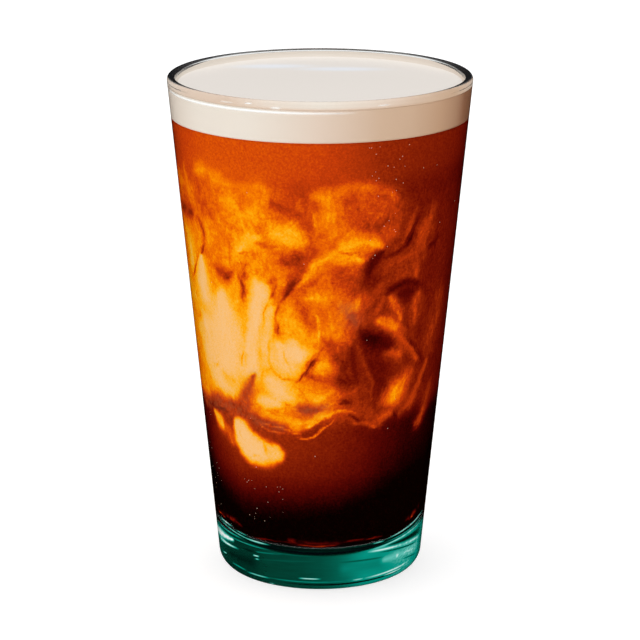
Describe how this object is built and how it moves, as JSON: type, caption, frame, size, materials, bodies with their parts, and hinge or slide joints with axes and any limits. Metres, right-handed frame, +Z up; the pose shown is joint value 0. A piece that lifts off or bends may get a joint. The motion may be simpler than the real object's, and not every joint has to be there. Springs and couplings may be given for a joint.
{
  "type": "glass of nitro cold brew coffee",
  "caption": "Conical pint tumbler full of dark cold brew coffee under a level head of cream foam.",
  "frame": {"origin": "centre of the glass's foot, on the surface it stands on", "axes": "+Z up along the axis that the glass and its contents are turned about; +X and +Y are any two level directions, since the solids are round"},
  "size_m": [0.0888, 0.0888, 0.149],
  "materials": {
    "glass": "clear soda-lime glass, faintly green where it is thick",
    "coffee": "liquid coffee, dark brown with lighter clouds of cream sinking through it",
    "foam": "fine cream foam, satin"
  },
  "bodies": {
    "root": {"glass": "glass", "coffee": "coffee", "foam": "foam"}
  },
  "joints": []
}
